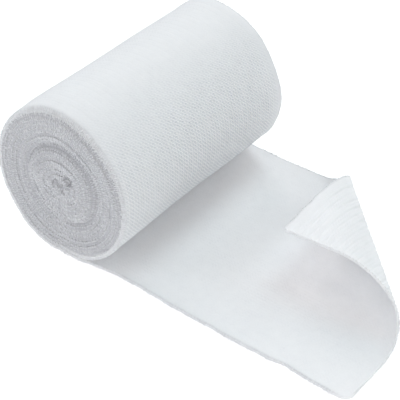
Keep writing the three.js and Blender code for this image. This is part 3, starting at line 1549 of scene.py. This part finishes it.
@dataclass(frozen=True)
class SoftLight:
    """A large, distant soft light, which lights the whole floor evenly.

    Attributes:
        name: Name of the light.
        azimuth: Direction that it stands in, degrees, 0 in front of the roll's near end and 90
            beyond the tail.
        elevation: Its height above the horizon, degrees.
        strength: Its strength.
        colour: Its colour.
        softness: How wide it looks, degrees.
    """

    name: str
    azimuth: float
    elevation: float
    strength: float
    colour: tuple[float, float, float] = (1, 1, 1)
    softness: float = 28.0

    def build(self) -> bpy.types.Object:
        """Adds the light, turned to the bandage.

        Returns:
            The light.
        """
        light = bpy.data.lights.new(self.name, "SUN")
        light.energy = self.strength
        light.color = [share * tint for share, tint in zip(self.colour, DAYLIGHT)]
        light.angle = math.radians(self.softness)
        stand = direction(math.radians(self.azimuth), math.radians(self.elevation))
        lamp = bpy.data.objects.new(self.name, light)
        lamp.location = stand
        lamp.rotation_euler = (-stand).to_track_quat("-Z", "Y").to_euler()
        bpy.context.scene.collection.objects.link(lamp)
        return lamp


@dataclass
class Studio:
    """Pale floor, soft light and the camera at the photograph's angle.

    Attributes:
        seat: Middle of the roll's foot in the row frame, mm.
        azimuth: Direction of the camera, 0 in front of the roll's near end, radians.
        elevation: Height of the camera above the horizon, radians.
        roll: Turn of the camera about its own axis, radians.
        distance: Distance from the camera to what it looks at, mm.
        looks_at: Point in the middle of the picture, mm from under the roll's foot.
        lens: Focal length, mm.
        film: Width of the film, mm.
        floor_width: Width of the floor, m.
        floor_drop: How far the floor lies below the row's ground, just under the loops, mm.
        sky: Strength of the light from all round. The camera sees it as plain white.
        lights: The soft lights.
    """

    seat: np.ndarray
    azimuth: float = 0.69
    elevation: float = 0.6772
    roll: float = -0.0236
    distance: float = 487.2
    looks_at: tuple[float, float, float] = (54.2, -32.7, 41.6)
    lens: float = 120.8
    film: float = 36.0
    floor_width: float = 6.0
    floor_drop: float = 0.15
    sky: float = 0.02
    lights: tuple[SoftLight, ...] = (
        SoftLight("top", azimuth=0, elevation=88, strength=0.12),
        SoftLight("front_high", azimuth=0, elevation=60, strength=0.26),
        SoftLight("front_low", azimuth=0, elevation=30, strength=0.28, colour=(0.9, 0.98, 1)),
        SoftLight("camera_low", azimuth=45, elevation=30, strength=1.1, colour=(1, 0.97, 0.94)),
        SoftLight("right_high", azimuth=90, elevation=60, strength=0.14, colour=(1, 0.85, 0.72)),
        SoftLight("right_back", azimuth=135, elevation=30, strength=0.42, colour=(0.8, 0.96, 1)),
        SoftLight("back_low", azimuth=180, elevation=30, strength=0.48, colour=(1, 0.94, 0.87)),
        SoftLight("back_high", azimuth=180, elevation=60, strength=0.6, colour=(0.75, 0.97, 1)),
        SoftLight("left_back", azimuth=225, elevation=30, strength=0.88, colour=(1, 0.93, 0.9)),
        SoftLight("left_high", azimuth=270, elevation=60, strength=0.44),
        SoftLight("left_low", azimuth=270, elevation=12, strength=0.19, colour=(0.6, 0.9, 1)),
        SoftLight("left_front", azimuth=315, elevation=30, strength=0.44),
    )

    def build_floor(self) -> bpy.types.Object:
        """Adds the floor, just under the bandage.

        Returns:
            The floor.
        """
        half = self.floor_width / 2
        corners = [(-half, -half, 0), (half, -half, 0), (half, half, 0), (-half, half, 0)]
        mesh = bpy.data.meshes.new("floor")
        mesh.from_pydata(corners, [], [(0, 1, 2, 3)])
        floor = bpy.data.objects.new("floor", mesh)
        floor.location.z = -self.floor_drop * MM
        floor.data.materials.append(FloorFinish().material())
        bpy.context.scene.collection.objects.link(floor)
        return floor

    def build_sky(self) -> None:
        """Adds the light from all round."""
        world = bpy.data.worlds.new("studio")
        world.use_nodes = True
        inputs = world.node_tree.nodes["Background"].inputs
        tree = NodeTree(world.node_tree)
        path = tree.add("ShaderNodeLightPath")
        seen = tree.math("MULTIPLY_ADD", path.outputs["Is Camera Ray"], 1 - self.sky, self.sky)
        tree.feed(inputs["Color"], (1, 1, 1, 1))
        tree.feed(inputs["Strength"], seen)
        bpy.context.scene.world = world

    def build_camera(self) -> bpy.types.Object:
        """Adds the camera and makes it the scene's own.

        Returns:
            The camera.
        """
        back = direction(self.azimuth, self.elevation)
        right = (-back).cross(Vector((0, 0, 1))).normalized()
        up = right.cross(-back)
        turned_right = math.cos(self.roll) * right + math.sin(self.roll) * up
        turned_up = math.cos(self.roll) * up - math.sin(self.roll) * right
        turn = Matrix((turned_right, turned_up, back)).transposed().to_4x4()
        target = (Vector(self.looks_at) + Vector(self.seat.tolist())) * MM
        data = bpy.data.cameras.new("camera")
        data.lens = self.lens
        data.sensor_width = self.film
        data.sensor_fit = "HORIZONTAL"
        data.clip_start = 0.01
        camera = bpy.data.objects.new("camera", data)
        camera.matrix_world = Matrix.Translation(target + back * self.distance * MM) @ turn
        bpy.context.scene.collection.objects.link(camera)
        bpy.context.scene.camera = camera
        return camera

    def build(self) -> None:
        """Adds all of the studio."""
        self.build_camera()
        self.build_floor()
        self.build_sky()
        for light in self.lights:
            light.build()
        view = bpy.context.scene.view_settings
        view.view_transform = "Standard"
        view.look = "None"


def report(piece: bpy.types.Object) -> None:
    """Logs a piece's name and how many triangles it has."""
    triangles = sum(len(face.vertices) - 2 for face in piece.data.polygons)
    LOG.info("%s: %d triangles", piece.name, triangles)


def main() -> None:
    """Builds the studio and every piece of the bandage."""
    logging.basicConfig(level=logging.INFO, format="%(name)s: %(message)s")
    form = StripForm()
    seat = np.array(FOOT_OF_ROLL)
    Studio(seat).build()
    weave, cotton = CrepeWeave().group(), cotton_group()
    cloth = CottonFinish("crepe_cloth", weave_depth=0.3).material(weave, cotton)
    # Bare yarns: their darker colour is painted shade inside the roll, between packed turns.
    yarn = CottonFinish(
        "cotton_yarn", light=(0.84, 0.85, 0.87, 1), dull_and_shade=(0.61, 0.61, 0.64, 1), fuzz_depth=0.08
    ).material(weave, cotton)
    report(BandageStrip(form, seat).dress(cloth))
    for selvage in Selvage:
        report(SelvageLoops(form, seat, selvage).dress(yarn))
    report(CutEndThreads(form, seat).dress(yarn))


if __name__ == "__main__":
    main()
